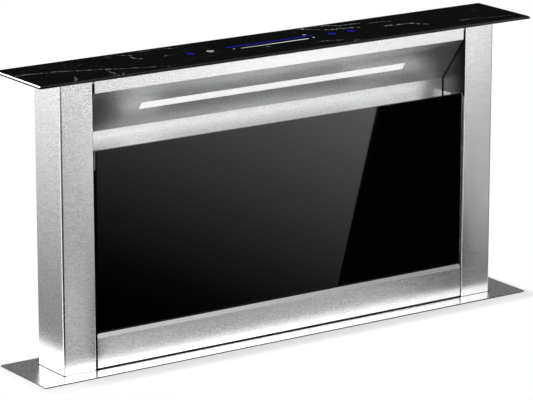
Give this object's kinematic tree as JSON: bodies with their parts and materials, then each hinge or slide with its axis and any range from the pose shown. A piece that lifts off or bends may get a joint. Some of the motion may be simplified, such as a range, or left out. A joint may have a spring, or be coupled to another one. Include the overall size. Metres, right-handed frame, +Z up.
{
  "type": "retractable downdraft extractor",
  "caption": "Worktop downdraft extractor: a glass-capped steel riser with a suction slot, lamp and tilting glass front slides up out of a casing with a fan and duct collar.",
  "frame": {"origin": "middle of the worktop's cut-out, on the worktop's top face, which is the underside of the flange's gasket", "axes": "+X to the right along the slot, -Y towards the cook, +Z up"},
  "size_m": [0.88, 0.2752, 1.125],
  "materials": {
    "cap_glass": "polished black with white veins",
    "front_glass": "polished black",
    "galvanised_steel": "galvanised",
    "circuit_board": "solder mask",
    "brushed_steel": "brushed",
    "lamp_lens": "opal",
    "aluminium": "extruded",
    "filter_aluminium": "woven mesh in a frame",
    "bearing_plastic": "moulded",
    "brass": "machined",
    "polished_steel": "ground",
    "black_plastic": "fine texture",
    "rubber": "matt",
    "motor_paint": "satin",
    "dark_plastic": "moulded"
  },
  "bodies": {
    "casing": {"worktop_flange": "brushed_steel", "flange_gasket": "rubber", "casing_front": "galvanised_steel", "casing_back": "galvanised_steel", "casing_left": "galvanised_steel", "casing_right": "galvanised_steel", "casing_bottom": "galvanised_steel", "guide_rails": "aluminium", "screw_bearings": "bearing_plastic", "drive_belt": "rubber", "lift_motor": "motor_paint", "limit_switches": "black_plastic", "blower_box": "galvanised_steel", "blower_cover": "galvanised_steel", "blower_scroll": "dark_plastic", "inlet_ring": "dark_plastic", "fan_motor": "motor_paint", "outlet_collar": "dark_plastic", "flap_pin": "polished_steel", "control_box": "black_plastic", "control_box_lid": "black_plastic", "control_board": "circuit_board", "cable_gland": "black_plastic", "internal_cables": "rubber", "worktop_clamps": "galvanised_steel", "clamp_screws": "polished_steel", "cabinet_brackets": "galvanised_steel", "casing_screws": "polished_steel"},
    "riser": {"cap_glass": "cap_glass", "cap_tray": "galvanised_steel", "touch_board": "circuit_board", "fascia": "brushed_steel", "ceiling_panel": "brushed_steel", "led_lens": "lamp_lens", "led_board": "aluminium", "pillar_cover_left": "brushed_steel", "pillar_cover_right": "brushed_steel", "riser_posts": "galvanised_steel", "riser_back_panel": "brushed_steel", "lower_front_panel": "brushed_steel", "filter_support": "galvanised_steel", "grease_filters": "filter_aluminium", "carriages": "bearing_plastic", "screw_nuts": "brass", "hinge_pins": "polished_steel", "catch_magnets": "black_plastic"},
    "front_panel": {"front_glass": "front_glass", "glass_frame": "galvanised_steel", "bottom_rail": "brushed_steel", "rail_end_caps": "black_plastic"},
    "left_screw": {"lift_screw_left": "polished_steel", "pulley_left": "aluminium"},
    "right_screw": {"lift_screw_right": "polished_steel", "pulley_right": "aluminium", "shaft_coupling": "polished_steel"},
    "fan": {"fan_wheel": "dark_plastic", "fan_blades": "dark_plastic", "fan_shaft": "polished_steel"},
    "front_flap": {"flap_front": "dark_plastic"},
    "rear_flap": {"flap_rear": "dark_plastic"}
  },
  "joints": [
    {"name": "riser_lift", "type": "slide", "parent": "casing", "child": "riser", "axis": [0, 0, 1], "range_m": [-0.437, 0]},
    {"name": "front_panel_tilt", "type": "hinge", "parent": "riser", "child": "front_panel", "pos_m": [0, -0.0305, 0.0177], "axis": [1, 0, 0], "range_deg": [0, 25]},
    {"name": "left_screw_turn", "type": "hinge", "parent": "casing", "child": "left_screw", "pos_m": [-0.40225, -0.02, -0.3], "axis": [0, 0, 1], "range_deg": [-7867, 0]},
    {"name": "right_screw_turn", "type": "hinge", "parent": "casing", "child": "right_screw", "pos_m": [0.40225, -0.02, -0.3], "axis": [0, 0, 1], "range_deg": [-7867, 0]},
    {"name": "fan_turn", "type": "hinge", "parent": "casing", "child": "fan", "pos_m": [-0.015, -0.11, -0.385], "axis": [0, 1, 0], "continuous": true},
    {"name": "front_flap_swing", "type": "hinge", "parent": "casing", "child": "front_flap", "pos_m": [0.06, -0.1267, -0.585], "axis": [1, 0, 0], "range_deg": [0, 80], "stiffness_Nm_per_rad": 0.01, "springref_deg": -57.3},
    {"name": "rear_flap_swing", "type": "hinge", "parent": "casing", "child": "rear_flap", "pos_m": [0.06, -0.1267, -0.585], "axis": [-1, 0, 0], "range_deg": [0, 80], "stiffness_Nm_per_rad": 0.01, "springref_deg": -57.3}
  ],
  "couplings": [
    {"joint": "left_screw_turn", "follows": "riser_lift", "rad_per_m": 314.16},
    {"joint": "right_screw_turn", "follows": "riser_lift", "rad_per_m": 314.16}
  ]
}
